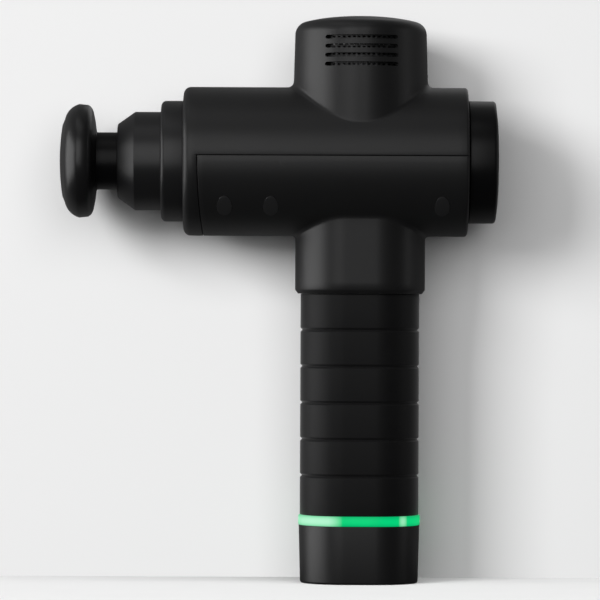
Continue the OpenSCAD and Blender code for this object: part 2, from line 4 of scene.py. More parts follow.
import bmesh
import bpy
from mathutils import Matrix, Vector


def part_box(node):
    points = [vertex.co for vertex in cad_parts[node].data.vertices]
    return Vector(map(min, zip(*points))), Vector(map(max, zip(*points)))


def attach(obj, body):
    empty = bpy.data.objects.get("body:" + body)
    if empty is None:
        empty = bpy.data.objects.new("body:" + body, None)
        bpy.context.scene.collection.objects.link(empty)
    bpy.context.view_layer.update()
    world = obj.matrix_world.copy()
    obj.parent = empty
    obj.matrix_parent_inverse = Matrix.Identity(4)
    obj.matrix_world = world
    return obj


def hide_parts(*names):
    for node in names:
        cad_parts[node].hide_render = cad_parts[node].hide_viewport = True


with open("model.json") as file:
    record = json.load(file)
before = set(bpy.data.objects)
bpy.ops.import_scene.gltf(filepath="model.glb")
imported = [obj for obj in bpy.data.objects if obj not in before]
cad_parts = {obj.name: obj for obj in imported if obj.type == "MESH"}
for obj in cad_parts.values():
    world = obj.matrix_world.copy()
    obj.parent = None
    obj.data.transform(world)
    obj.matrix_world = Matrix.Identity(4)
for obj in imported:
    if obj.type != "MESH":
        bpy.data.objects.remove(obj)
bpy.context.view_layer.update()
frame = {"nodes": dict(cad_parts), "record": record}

# ---------------------------------------------------------------------------
# Upper shell: one injection moulding with the body's upper half, the whole
# front ring and the motor dome. Glass-filled nylon with a fine spark-eroded
# grain, 2.3 mm thick, screwed down from below through the lower shell.

MM = 0.001
shell_low, shell_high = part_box("upper_shell")
BODY_R = (shell_high.y - shell_low.y) / 2
AXIS_Z = shell_low.z + BODY_R
FRONT_X, REAR_X = shell_low.x, shell_high.x
DOME_TOP = shell_high.z
SEAM_RISE = 1.7 * MM
SEAM_GAP = 0.24 * MM
SEAM_X = -66.9 * MM
SEAM_ARC = 250 * MM          # radius of the front seam, seen from the side
SEAM_BREAK = 0.2 * MM
SEAM_REACH = 0.3 * MM        # how far from the seam an edge still counts as on it
SEAM_FRONT_END = SEAM_X + 4 * MM
WELD = 0.01 * MM
FINE_WELD = 0.002 * MM
SHARP_EDGE = math.radians(32)
SHELL_WALL = 2.3 * MM
PATCH_X = 33.6 * MM          # how far the patch round a dome or neck reaches along the body
PATCH_CORNER = 18            # columns from the middle of a patch's end to its corner
SIDE_COLUMNS = 2 * PATCH_CORNER
FRONT_STEPS = 14             # rows from the patch to the front seam
REAR_STEPS = 3
FRONT_ROUND = 3.0 * MM
REAR_ROUND = 1.2 * MM
NOSE_HOLE = 20.45 * MM
HUB_HOLE = 14.1 * MM


def grid_skin(bm, columns, rows, place):
    """Adds a grid of faces whose vertex (i, j) goes to place(i, j); returns its faces."""
    made = bmesh.ops.create_grid(bm, x_segments=columns, y_segments=rows, size=0.5)
    faces = set()
    for v in made["verts"]:
        i, j = round((v.co.x + 0.5) * columns), round((v.co.y + 0.5) * rows)
        v.co = place(i, j)
        faces.update(v.link_faces)
    return faces


def arc(centre, radius, start, end, steps):
    """Points of an arc in a plane, from angle start to end in degrees."""
    turns = [math.radians(start + (end - start) * k / steps) for k in range(steps + 1)]
    return [(centre[0] + radius * math.cos(t), centre[1] + radius * math.sin(t)) for t in turns]


def mix(a, b, t):
    """The value a share t of the way from a to b."""
    return a + (b - a) * t


def spread(start, end, steps):
    """Values from start to end, without the start."""
    return [mix(start, end, k / steps) for k in range(1, steps + 1)]


def on_body(x, turn, radius=BODY_R):
    """A point round the body's axis; turn is 0 at the top and grows towards +Y."""
    return Vector((x, radius * math.sin(turn), AXIS_Z + radius * math.cos(turn)))


def oblong_columns(arc_angles, flat, flat_steps):
    """Columns (core x, normal angle) round an oblong; arc_angles run from 0 to 90 degrees."""
    quarter = [math.radians(a) for a in arc_angles]
    right = [(flat, a) for a in quarter]
    across = [(mix(flat, -flat, k / flat_steps), math.pi / 2) for k in range(1, flat_steps)]
    left = [(-flat, math.pi - a) for a in reversed(quarter)]
    half = right + across + left
    return half + [(-c, a + math.pi) for c, a in half[1:]]


def oblong_point(column, radius, z):
    """The point of a column at a radius from the oblong's core, at a height."""
    core, turn = column
    return Vector((core + radius * math.cos(turn), radius * math.sin(turn), z))


def saddle(column, wall_r, fillet, up, t):
    """A point on the fillet between an upright oblong wall and the body: t runs from 0 to 1."""
    core, turn = column
    out = Vector((math.cos(turn), math.sin(turn), 0))
    y = (wall_r + fillet) * math.sin(turn)
    z = math.sqrt((BODY_R + fillet) ** 2 - y * y)
    centre = out * (wall_r + fillet) + Vector((core, 0, z * up))
    to_wall = -out
    to_body = Vector((0, -y, -z * up)) / (BODY_R + fillet)
    return centre + to_wall.slerp(to_body, t) * fillet + Vector((0, 0, AXIS_Z))


def patch_edge(index, count, side_turn):
    """Where column index meets the straight edge of the patch, as (x, turn from its own pole)."""
    corner = PATCH_CORNER
    half = count // 2
    side = 1 if index < half else -1
    k = index if side == 1 else index - half
    if k <= corner:
        x, turn = PATCH_X, side_turn * k / corner
    elif k < half - corner:
        x, turn = PATCH_X * (1 - 2 * (k - corner) / (half - 2 * corner)), side_turn
    else:
        x, turn = -PATCH_X, side_turn * (half - k) / corner
    return side * x, side * turn


def seam_x(z):
    """The front seam is a shallow arc, seen from the side."""
    return SEAM_X + (z - AXIS_Z - SEAM_RISE) ** 2 / (2 * SEAM_ARC)


def on_seam(edge):
    """True for an edge on the outside of the seam, along the sides or round the front."""
    ends = [v.co for v in edge.verts]
    outside = min(math.hypot(p.y, p.z - AXIS_Z) for p in ends) > BODY_R - SEAM_REACH / 3
    along_side = max(abs(p.z - AXIS_Z - SEAM_RISE) for p in ends) < SEAM_REACH
    return outside and (along_side or max(p.x for p in ends) < SEAM_FRONT_END)


def finish_skin(bm):
    """Welds a shell's skin, gives it its wall and breaks the outer seam edges."""
    bmesh.ops.remove_doubles(bm, verts=bm.verts, dist=WELD)
    bmesh.ops.recalc_face_normals(bm, faces=bm.faces)
    bmesh.ops.solidify(bm, geom=bm.faces, thickness=SHELL_WALL)
    bm.normal_update()
    edges = [e for e in bm.edges if e.is_manifold and e.calc_face_angle() > 1.0 and on_seam(e)]
    bmesh.ops.bevel(bm, geom=edges, offset=SEAM_BREAK, segments=2, affect="EDGES", profile=0.5,
                    material=-1, clamp_overlap=True)


def make_piece(name, bm, body, material, replaced=()):
    """Turns a bmesh into a finished piece that rides on a body."""
    bmesh.ops.remove_doubles(bm, verts=bm.verts, dist=FINE_WELD)
    bm.normal_update()
    for face in bm.faces:
        face.smooth = True
    for edge in bm.edges:
        edge.smooth = edge.is_manifold and edge.calc_face_angle() < SHARP_EDGE
    mesh = bpy.data.meshes.new(name)
    bm.to_mesh(mesh)
    bm.free()
    piece = bpy.data.objects.new(name, mesh)
    bpy.context.scene.collection.objects.link(piece)
    mesh.materials.append(material)
    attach(piece, body)
    if replaced:
        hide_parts(*replaced)
    return piece


class Wire:
    """A socket whose arithmetic adds Math nodes, so shader maths reads as expressions."""

    def __init__(self, tree, socket):
        self.tree, self.socket = tree, socket

    def math(self, operation, *values):
        return self.tree.add("ShaderNodeMath", {"operation": operation}, list(values))

    def __add__(self, other):
        return self.math("ADD", self, other)

    def __radd__(self, other):
        return self.math("ADD", other, self)

    def __sub__(self, other):
        return self.math("SUBTRACT", self, other)

    def __rsub__(self, other):
        return self.math("SUBTRACT", other, self)

    def __mul__(self, other):
        return self.math("MULTIPLY", self, other)

    def __rmul__(self, other):
        return self.math("MULTIPLY", other, self)

    def __truediv__(self, other):
        return self.math("DIVIDE", self, other)

    def clamp(self):
        return self.math("MAXIMUM", self.math("MINIMUM", self, 1.0), 0.0)


class Finish:
    """A node material being built; add() makes any node and returns its first output."""

    def __init__(self, name):
        self.material = bpy.data.materials.new(name)
        self.material.use_nodes = True
        self.nodes = self.material.node_tree.nodes
        self.links = self.material.node_tree.links
        self.nodes.clear()

    def add(self, kind, settings=None, values=(), output=0):
        node = self.nodes.new(kind)
        for key, value in (settings or {}).items():
            if key == "stops":
                ramp = node.color_ramp
                while len(ramp.elements) < len(value):
                    ramp.elements.new(1.0)
                for element, (place, colour) in zip(ramp.elements, value):
                    element.position, element.color = place, (*colour, 1)
            else:
                setattr(node, key, value)
        pairs = values.items() if isinstance(values, dict) else enumerate(values)
        for key, value in pairs:
            if isinstance(value, Wire):
                self.links.new(value.socket, node.inputs[key])
            elif value is not None:
                node.inputs[key].default_value = value
        return Wire(self, node.outputs[output])

    def place(self):
        """The point of the surface on Object coordinates, in metres."""
        return self.add("ShaderNodeTexCoord", output="Object")

    def noise(self, scale, detail=3.0, rough=0.5, at=None):
        return self.add("ShaderNodeTexNoise", {},
                        {"Vector": at or self.place(), "Scale": scale, "Detail": detail,
                         "Roughness": rough})

    def blend(self, factor, first, second):
        """A colour between two colours."""
        return self.add("ShaderNodeMix", {"data_type": "RGBA"},
                        {"Factor": factor, "A": first if isinstance(first, Wire) else (*first, 1),
                         "B": second if isinstance(second, Wire) else (*second, 1)}, output=2)

    def bump(self, height, strength, distance):
        return self.add("ShaderNodeBump", {},
                        {"Height": height, "Strength": strength, "Distance": distance})

    def surface(self, **inputs):
        """Ends the material in a Principled surface; names use _ for a space."""
        values = {key.replace("_", " "): value for key, value in inputs.items()}
        shader = self.add("ShaderNodeBsdfPrincipled", {}, values)
        out = self.nodes.new("ShaderNodeOutputMaterial")
        self.links.new(shader.socket, out.inputs["Surface"])
        return self.material


def moulded_plastic(name, colour, roughness, grain=1600, grain_depth=0.02, specular=0.5):
    """Moulded plastic: fine eroded grain, faint flow clouding and light handling marks."""
    f = Finish(name)
    cloud = f.noise(26, 4, 0.6)
    grit = f.noise(grain, 2, 0.6)
    marks = (f.noise(210, 5, 0.7) - 0.62) * 6
    tone = (cloud * 0.7 + grit * 0.3).clamp()
    low = tuple(c * 0.86 for c in colour)
    high = tuple(c * 1.16 for c in colour)
    shine = roughness + (cloud - 0.5) * 0.10 + (grit - 0.5) * 0.08 - marks.clamp() * 0.05
    return f.surface(Base_Color=f.blend(tone, low, high), Roughness=shine.clamp(),
                     Normal=f.bump(grit, 0.25, grain_depth * MM), Specular_IOR_Level=specular)


shell_finish = moulded_plastic("shell_grain_plastic", (0.016, 0.016, 0.0165), 0.42)

VENT_TOP_Z = 223.9 * MM
VENT_PITCH = 3.67 * MM
VENT_Z = [VENT_TOP_Z - VENT_PITCH * k for k in range(4)]
VENT_HALF_H = 0.825 * MM
VENT_END = 58.5              # angle on the dome's round side where a slot ends
VENT_END_STEPS = [(0, 0.12), (0.3, 0.42), (0.8, 0.645), (2.1, 0.825)]   # (angle, half height)
DOME_FLAT = 1.3 * MM
DOME_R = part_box("vent_screens")[1].y + 2.7 * MM
CROWN = 2.35 * MM            # how far the crown falls from its middle to the rounded edge
CROWN_POWER = 2.4
DOME_EDGE = 5.4 * MM
DOME_SHOULDER = 7.6 * MM     # from the top down to where the wall starts
DOME_DRAFT = 0.6 * MM        # the wall widens by this much from the shoulder to the foot
DOME_FOOT_Z = 204 * MM
DOME_FOOT_R = DOME_R + 0.35 * MM
DOME_FILLET = 2.4 * MM

dome_angles = ([VENT_END * k / 22 for k in range(22)] + [VENT_END + a for a, _ in VENT_END_STEPS]
               + spread(VENT_END + VENT_END_STEPS[-1][0], 90, 12))
dome_columns = oblong_columns(dome_angles, DOME_FLAT, 2)


def vent_half_height(column):
    """Half the slot's height at a column; a slot's end is round."""
    turn = math.degrees(math.asin(min(1, abs(math.sin(column[1])))))
    for step, half in VENT_END_STEPS:
        if turn <= VENT_END + step + 0.01:
            return half * MM
    return VENT_HALF_H


# The dome's rows, from the top down: crown, rounded edge, slots, wall, fillet, body
EDGE_START = 14              # angle at which the rounded edge takes over from the crown
edge_turns = [EDGE_START + (90 - EDGE_START) * k / 10 for k in range(11)]
edge_r = DOME_FOOT_R - DOME_DRAFT - DOME_EDGE
crown_r = edge_r + DOME_EDGE * math.sin(math.radians(EDGE_START))
crown_rows = [crown_r * k / 12 for k in range(12)]
WALL_ROWS = 8
FILLET_ROWS = 6
BODY_ROWS = 10


def dome_wall(z):
    """The dome's drafted radius at a height."""
    down = (DOME_TOP - DOME_SHOULDER - z) / (DOME_TOP - DOME_SHOULDER - DOME_FOOT_Z)
    return DOME_FOOT_R - DOME_DRAFT * (1 - min(1, max(0, down)))


def dome_row(j, column, index):
    """Row j of the dome patch at one column."""
    if j < len(crown_rows):
        r = crown_rows[j]
        return oblong_point((column[0] * r / crown_r, column[1]), r,
                            DOME_TOP - CROWN * (r / crown_r) ** CROWN_POWER)
    j -= len(crown_rows)
    if j < len(edge_turns):
        t = math.radians(edge_turns[j])
        return oblong_point(column, edge_r + DOME_EDGE * math.sin(t),
                            DOME_TOP - DOME_SHOULDER + DOME_EDGE * math.cos(t))
    j -= len(edge_turns)
    if j < 2 * len(VENT_Z):
        side = 1 if j % 2 == 0 else -1
        z = VENT_Z[j // 2] + side * vent_half_height(column)
        return oblong_point(column, dome_wall(z), z)
    j -= 2 * len(VENT_Z)
    foot = saddle(column, DOME_FOOT_R, DOME_FILLET, 1, 0)
    if j < WALL_ROWS:
        z = mix(VENT_Z[-1] - VENT_HALF_H, foot.z, (j + 1) / (WALL_ROWS + 1))
        return oblong_point(column, dome_wall(z), z)
    j -= WALL_ROWS
    if j <= FILLET_ROWS:
        return saddle(column, DOME_FOOT_R, DOME_FILLET, 1, j / FILLET_ROWS)
    j -= FILLET_ROWS
    return body_row(column, DOME_FOOT_R, DOME_FILLET, 1, index, len(dome_columns) - 1,
                    j / BODY_ROWS)


def body_row(column, wall_r, fillet, up, index, count, t):
    """A point on the body between a fillet's foot and the patch's straight edge."""
    foot = saddle(column, wall_r, fillet, up, 1)
    foot_turn = math.atan2(foot.y, (foot.z - AXIS_Z) * up)
    x, turn = patch_edge(index % count, count, seam_turn(up))
    turn = mix(foot_turn, turn, t)
    return on_body(mix(foot.x, x, t), turn if up > 0 else math.pi - turn)


def seam_turn(up):
    """Angle from a shell's own pole to the seam."""
    rise = up * SEAM_RISE + SEAM_GAP / 2
    return math.acos(rise / BODY_R)


dome_rows = (len(crown_rows) + len(edge_turns) + 2 * len(VENT_Z) + WALL_ROWS + FILLET_ROWS
             + BODY_ROWS)


def end_profile(x_edge, edge_round, hole, outward):
    """Rows (x, radius) that round a body's end over and run in to its hole."""
    x, r = x_edge - outward * edge_round, BODY_R - edge_round
    turns = [math.pi / 2 * k / 6 for k in range(7)]
    rounded = [(x + outward * edge_round * math.sin(t), r + edge_round * math.cos(t)) for t in turns]
    return rounded + [(x_edge, flat_r) for flat_r in spread(r, hole, 3)]


front_end = end_profile(FRONT_X, FRONT_ROUND, NOSE_HOLE, -1)
rear_end = end_profile(REAR_X, REAR_ROUND, HUB_HOLE, 1)


def end_skin(bm, up, x_from, profile, steps):
    """Half a body's end, from x_from to the rows of its end profile."""
    side_turn = seam_turn(up)

    def place(i, j):
        turn = mix(-side_turn, side_turn, i / SIDE_COLUMNS)
        turn = turn if up > 0 else math.pi - turn
        if j < steps:
            return on_body(mix(x_from, profile[0][0], j / steps), turn)
        x, r = profile[j - steps]
        return on_body(x, turn, r)

    grid_skin(bm, SIDE_COLUMNS, steps + len(profile) - 1, place)


upper = bmesh.new()
dome_faces = grid_skin(upper, len(dome_columns) - 1, dome_rows,
                       lambda i, j: dome_row(j, dome_columns[i], i))
slot_faces = []
for face in dome_faces:
    mid = face.calc_center_median()
    for z in VENT_Z:
        slot_end_y = dome_wall(mid.z) * math.sin(math.radians(VENT_END))
        inside = abs(mid.z - z) < VENT_HALF_H * 0.9 and abs(mid.y) > slot_end_y
        if inside and max(abs(v.co.z - z) for v in face.verts) < VENT_HALF_H * 1.02:
            slot_faces.append(face)
bmesh.ops.delete(upper, geom=slot_faces, context="FACES")
end_skin(upper, 1, -PATCH_X, [(SEAM_X, BODY_R)] + front_end, FRONT_STEPS)
end_skin(upper, 1, PATCH_X, rear_end, REAR_STEPS)


RING_COLUMNS = 64


def ring_place(i, j):
    """The lower half of the front ring, from the curved seam to the front end."""
    turn = mix(seam_turn(1), 2 * math.pi - seam_turn(1), i / RING_COLUMNS)
    if j == 0:
        return on_body(seam_x(on_body(0, turn).z) - SEAM_GAP / 2, turn)
    x, r = front_end[j - 1]
    return on_body(x, turn, r)


grid_skin(upper, RING_COLUMNS, len(front_end), ring_place)

finish_skin(upper)
make_piece("upper_shell_skin", upper, "housing", shell_finish, ["upper_shell"])

# ---------------------------------------------------------------------------
# Lower shell: the body's lower half with the neck that the handle plugs into.
# Same moulding compound; its front edge is a shallow arc against the front ring.

neck_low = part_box("lower_shell")[0].z
HANDLE_FLAT = 6.2 * MM
NECK_R = 20.6 * MM
NECK_CHAMFER = 1.2 * MM
neck_columns = oblong_columns([90 * k / 30 for k in range(31)], HANDLE_FLAT, 8)
TUBE_R = 16.4 * MM


def neck_fillet(column):
    """The neck's fillet is wider on its broad sides than at its ends."""
    return (1.6 + 1.5 * math.sin(column[1]) ** 2) * MM


neck_profile = [(TUBE_R, 0), (NECK_R - 2.4 * MM, 0), (NECK_R - NECK_CHAMFER, 0),
                (NECK_R - 0.25 * MM, NECK_CHAMFER), (NECK_R, NECK_CHAMFER + 0.5 * MM)]


def neck_row(j, column, index):
    """Row j of the neck patch at one column, from the handle's socket up to the body."""
    if j < len(neck_profile):
        r, up = neck_profile[j]
        return oblong_point(column, r, neck_low + up)
    j -= len(neck_profile)
    fillet = neck_fillet(column)
    top = saddle(column, NECK_R, fillet, -1, 0)
    if j < WALL_ROWS:
        return oblong_point(column, NECK_R,
                            mix(neck_low + neck_profile[-1][1], top.z, (j + 1) / (WALL_ROWS + 1)))
    j -= WALL_ROWS
    if j <= FILLET_ROWS:
        return saddle(column, NECK_R, fillet, -1, j / FILLET_ROWS)
    return body_row(column, NECK_R, fillet, -1, index, len(neck_columns) - 1,
                    (j - FILLET_ROWS) / BODY_ROWS)


lower = bmesh.new()
grid_skin(lower, len(neck_columns) - 1, len(neck_profile) + WALL_ROWS + FILLET_ROWS + BODY_ROWS,
          lambda i, j: neck_row(j, neck_columns[i], i))
end_skin(lower, -1, PATCH_X, rear_end, REAR_STEPS)


def lower_front(i, j):
    """The lower shell from the neck's patch to its curved front edge."""
    turn = math.pi - mix(-seam_turn(-1), seam_turn(-1), i / SIDE_COLUMNS)
    edge = on_body(0, turn)
    return on_body(mix(-PATCH_X, seam_x(edge.z) + SEAM_GAP / 2, j / FRONT_STEPS), turn)


grid_skin(lower, SIDE_COLUMNS, FRONT_STEPS, lower_front)

finish_skin(lower)
make_piece("lower_shell_skin", lower, "housing", shell_finish, ["lower_shell"])

# ---------------------------------------------------------------------------
# Collar and nose: two turned steps in front of the body. Smooth moulded plastic
# with rounded rims; the nose closes the body round the massage head's stem.


def rounded_outline(points, steps=6):
    """Rounds the corners of a closed outline: each point is (x, r, corner radius)."""
    outline = []
    for k, (x, r, radius) in enumerate(points):
        here = Vector((x, r))
        if radius <= 0:
            outline.append(here)
            continue
        before = (Vector(points[k - 1][:2]) - here).normalized()
        after = (Vector(points[(k + 1) % len(points)][:2]) - here).normalized()
        half = before.angle(after) / 2
        reach = radius / math.tan(half)
        centre = here + (before + after).normalized() * radius / math.sin(half)
        start = (here + before * reach - centre).normalized()
        end = (here + after * reach - centre).normalized()
        for s in range(steps + 1):
            outline.append(centre + start.slerp(end, s / steps) * radius)
    return outline


def turned(points, steps=144, corner_steps=6):
    """Spins a closed outline of (x, r, corner radius) about the body's axis."""
    bm = bmesh.new()
    outline = rounded_outline(points, corner_steps)
    verts = [bm.verts.new((p.x, 0, AXIS_Z + p.y)) for p in outline]
    edges = [bm.edges.new((verts[k - 1], verts[k])) for k in range(len(verts))]
    bmesh.ops.spin(bm, geom=verts + edges, cent=(0, 0, AXIS_Z), axis=(1, 0, 0),
                   angle=2 * math.pi, steps=steps, use_merge=True)
    bmesh.ops.remove_doubles(bm, verts=bm.verts, dist=FINE_WELD)
    bmesh.ops.recalc_face_normals(bm, faces=bm.faces)
    return bm


collar_finish = moulded_plastic("collar_satin_plastic", (0.016, 0.016, 0.017), 0.38, 2400, 0.01)
collar_low, collar_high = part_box("collar_ring")
COLLAR_R = (collar_high.z - collar_low.z) / 2
collar = turned([(collar_low.x, NOSE_HOLE, 0), (collar_low.x, COLLAR_R, 2.0 * MM),
                 (collar_high.x, COLLAR_R, 0.2 * MM), (collar_high.x, NOSE_HOLE, 0)])
make_piece("collar_rim", collar, "housing", collar_finish, ["collar_ring"])

nose_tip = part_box("nose_cone")[0].x
NOSE_R = 20.3 * MM
NOSE_FACE_R = 15.2 * MM
SEAL_R = 14.4 * MM
nose = turned([(nose_tip + 1.2 * MM, 12.7 * MM, 0), (nose_tip, 12.9 * MM, 0.3 * MM),
               (nose_tip, NOSE_FACE_R, 1.1 * MM), (nose_tip + 7.2 * MM, NOSE_R, 0.8 * MM),
               (FRONT_X + 5 * MM, NOSE_R, 0), (FRONT_X + 5 * MM, 18.3 * MM, 0),
               (-80 * MM, 18.3 * MM, 0), (-80 * MM, 13.3 * MM, 0),
               (nose_tip + 3.6 * MM, 13.3 * MM, 0), (nose_tip + 3.6 * MM, SEAL_R, 0),
               (nose_tip + 1.2 * MM, SEAL_R, 0)])
make_piece("nose_sleeve", nose, "housing", collar_finish, ["nose_cone"])

# ---------------------------------------------------------------------------
# Wiper seal: a black nitrile ring pressed into the nose's mouth. Its thin lip
# runs round the stem and keeps dust out of the drive.

STEM_R = 11.8 * MM


def rubber(name, colour, roughness=0.72, grain=900, sheen=0.0, specular=0.42):
    """Soft rubber: dusty bloom and a fine pebble that scatters the highlight."""
    f = Finish(name)
    bloom = f.noise(60, 4, 0.65)
    pebble = f.noise(grain, 2, 0.55)
    tone = (bloom * 1.4 - 0.2).clamp()
    low = tuple(c * 0.82 for c in colour)
    high = tuple(c * 1.25 + 0.001 for c in colour)
    return f.surface(Base_Color=f.blend(tone, low, high),
                     Roughness=(roughness + (bloom - 0.5) * 0.12).clamp(),
                     Normal=f.bump(pebble, 0.4, 0.03 * MM), Specular_IOR_Level=specular,
                     Sheen_Weight=sheen, Sheen_Roughness=0.35)


seal_finish = rubber("seal_rubber", (0.008, 0.008, 0.008), 0.6)
seal = turned([(nose_tip + 1.25 * MM, STEM_R + 0.35 * MM, 0.25 * MM),
               (nose_tip + 1.25 * MM, SEAL_R - 0.05 * MM, 0),
               (nose_tip + 3.5 * MM, SEAL_R - 0.05 * MM, 0),
               (nose_tip + 3.5 * MM, STEM_R + 1.6 * MM, 0),
               (nose_tip + 2.3 * MM, STEM_R + 1.0 * MM, 0.3 * MM)], 96, 4)
make_piece("stem_wiper", seal, "housing", seal_finish, ["nose_seal"])

# ---------------------------------------------------------------------------
# Massage head: a flat disc of dense plastic with a rolled rim and dished back,
# moulded onto a hollow black stem that pushes into the shaft's socket.

head_low, head_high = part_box("head_pad")
HEAD_R = (head_high.z - head_low.z) / 2
HEAD_X = head_low.x
HEAD_BACK = head_high.x
HEAD_EDGE = 8 * MM
HEAD_DOME = 95 * MM
head_finish = moulded_plastic("head_dense_plastic", (0.012, 0.012, 0.0125), 0.34, 2200, 0.012)
rim_x = HEAD_X + 10.0 * MM
RIM_END = 76                 # angle at which the rounded rim meets the tapered band
rim_r = HEAD_R - HEAD_EDGE * math.sin(math.radians(RIM_END))
face_outline = [(HEAD_X + HEAD_DOME - math.sqrt(HEAD_DOME ** 2 - r * r), r)
                for r in spread(-1.5 * MM, 15 * MM, 11)]
rim_outline = [(rim_x - x, rim_r + y) for x, y in arc((0, 0), HEAD_EDGE, 12, RIM_END, 11)]
back_corner = [(rim_x + 1.7 * MM, HEAD_R - 0.38 * MM), (rim_x + 2.6 * MM, HEAD_R - 0.95 * MM),
               (rim_x + 3.3 * MM, HEAD_R - 1.9 * MM), (rim_x + 3.75 * MM, HEAD_R - 3.0 * MM),
               (rim_x + 4.45 * MM, HEAD_R - 6.3 * MM), (rim_x + 4.85 * MM, HEAD_R - 9.4 * MM),
               (rim_x + 5.05 * MM, STEM_R + 1.0 * MM), (rim_x + 5.2 * MM, STEM_R + 0.35 * MM),
               (HEAD_BACK, STEM_R + 0.02 * MM), (HEAD_BACK, STEM_R - 1 * MM)]
head = turned([(x, r, 0) for x, r in face_outline + rim_outline + back_corner]
              + [(HEAD_BACK, 0, 0)], 160)
make_piece("head_disc", head, "massage_head", head_finish, ["head_pad"])

stem_finish = moulded_plastic("stem_black_plastic", (0.006, 0.006, 0.0065), 0.36, 2400, 0.01, 0.16)
stem_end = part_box("head_stem")[1].x
step_x = -88.1 * MM
PLUG_R = 10.4 * MM
groove_x = [-80 * MM, -68 * MM]
stem_outline = [(HEAD_BACK - 4 * MM, 0, 0), (HEAD_BACK - 4 * MM, STEM_R - 0.6 * MM, 0),
                (HEAD_BACK - 0.5 * MM, STEM_R, 0), (step_x, STEM_R, 0.4 * MM), (step_x, PLUG_R, 0)]
for x in groove_x:
    stem_outline += [(x, PLUG_R, 0.1 * MM), (x, PLUG_R - 1.8 * MM, 0),
                     (x + 2.4 * MM, PLUG_R - 1.8 * MM, 0), (x + 2.4 * MM, PLUG_R, 0.1 * MM)]
stem_outline += [(stem_end, PLUG_R, 1.4 * MM), (stem_end, 6 * MM, 0.5 * MM),
                 (step_x - 3 * MM, 6 * MM, 0), (step_x - 3 * MM, 0, 0)]
make_piece("head_stem_post", turned(stem_outline, 96), "massage_head", stem_finish,
           ["head_stem"])

# ---------------------------------------------------------------------------
# Vent screens: punched steel sheet behind the dome's slots, one front and one
# back. Rows of round holes; painted black, with the paint worn thin in places.

SCREEN_R = DOME_R - 2.75 * MM
SCREEN_T = 0.35 * MM
SCREEN_HALF = 16.4 * MM
SCREEN_MARGIN = 2.2 * MM     # how far a sheet runs past the outer slots
HOLE_BAR = 0.42 * MM         # half the metal left between two holes
screen_low = VENT_Z[-1] - SCREEN_MARGIN
screen_high = VENT_Z[0] + SCREEN_MARGIN
screen_columns = 16
screen_rows = 11


def screen_paint():
    """Black paint on steel, worn thin in places."""
    f = Finish("screen_black_paint")
    worn = (f.noise(500, 4, 0.6) - 0.45) * 2.2
    return f.surface(Base_Color=f.blend(worn.clamp(), (0.02, 0.02, 0.02), (0.16, 0.16, 0.165)),
                     Roughness=(0.38 + worn.clamp() * 0.15).clamp(), Metallic=0.35)


screen_finish = screen_paint()
screens = bmesh.new()
for side in (-1, 1):
    def screen_place(i, j, side=side):
        x = mix(-SCREEN_HALF, SCREEN_HALF, i / screen_columns)
        reach = max(0, abs(x) - DOME_FLAT)
        y = math.sqrt(SCREEN_R ** 2 - reach ** 2)
        return Vector((x, side * y, mix(screen_low, screen_high, j / screen_rows)))

    grid_skin(screens, screen_columns, screen_rows, screen_place)
holes = bmesh.ops.inset_individual(screens, faces=list(screens.faces), thickness=HOLE_BAR,
                                   use_even_offset=True)
rim = set(holes["faces"])
bmesh.ops.delete(screens, geom=[f for f in screens.faces if f not in rim], context="FACES")
screens.normal_update()
bmesh.ops.reverse_faces(screens, faces=[f for f in screens.faces
                                        if f.normal.y * f.calc_center_median().y < 0])
bmesh.ops.solidify(screens, geom=screens.faces, thickness=SCREEN_T)
screen_piece = make_piece("vent_screen_sheets", screens, "housing", screen_finish,
                          ["vent_screens"])
round_holes = screen_piece.modifiers.new("round_holes", "SUBSURF")
round_holes.levels = round_holes.render_levels = 1

# ---------------------------------------------------------------------------
# Grip sleeve: soft-touch rubber, pulled over the handle's tube, with five narrow
# V grooves that part it into six bands.

grip_low, grip_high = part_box("grip_sleeve")
GRIP_R = grip_high.y
GROOVE_TOP_Z = 104.3 * MM
GROOVE_PITCH = 15 * MM
GROOVE_Z = [GROOVE_TOP_Z - GROOVE_PITCH * k for k in range(5)]
GROOVE_HALF = 0.85 * MM
GROOVE_DEPTH = 0.85 * MM
grip_columns = oblong_columns([90 * k / 32 for k in range(33)], HANDLE_FLAT, 8)


def oblong_piece(columns, outline, steps=4, closed=True):
    """Sweeps an outline of (z, r, corner radius) round an oblong section."""
    bm = bmesh.new()
    rows = rounded_outline(outline, steps)
    if closed:
        rows.append(rows[0])
    grid_skin(bm, len(columns) - 1, len(rows) - 1,
              lambda i, j: oblong_point(columns[i], rows[j].y, rows[j].x))
    bmesh.ops.remove_doubles(bm, verts=bm.verts, dist=FINE_WELD)
    bmesh.ops.recalc_face_normals(bm, faces=bm.faces)
    return bm


grip_outline = [(grip_high.z, TUBE_R, 0), (grip_high.z, GRIP_R, 0.5 * MM)]
for z in GROOVE_Z:
    grip_outline += [(z + GROOVE_HALF, GRIP_R, 0.35 * MM), (z, GRIP_R - GROOVE_DEPTH, 0.2 * MM),
                     (z - GROOVE_HALF, GRIP_R, 0.35 * MM)]
grip_outline += [(grip_low.z, GRIP_R, 0.4 * MM), (grip_low.z, TUBE_R, 0)]
grip_finish = rubber("grip_soft_rubber", (0.010, 0.010, 0.0105), 0.5, 1500, 0.65, 0.2)
make_piece("grip_sleeve_rubber", oblong_piece(grip_columns, grip_outline), "housing",
           grip_finish, ["grip_sleeve"])

# ---------------------------------------------------------------------------
# Light ring: a frosted green diffuser of moulded plastic, lit from inside and
# clamped between the sleeve and the base cap.

light_low, light_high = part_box("light_ring")
LIGHT_R = light_high.y
# Painted reflections of the left soft box and the right strip lamp bleach the green, widely in front
# and in a thin line behind
FRONT_GLINT_X, FRONT_GLINT_SPREAD = -18.0, 120
REAR_GLINT_X, REAR_GLINT_SPREAD = 17.8, 3


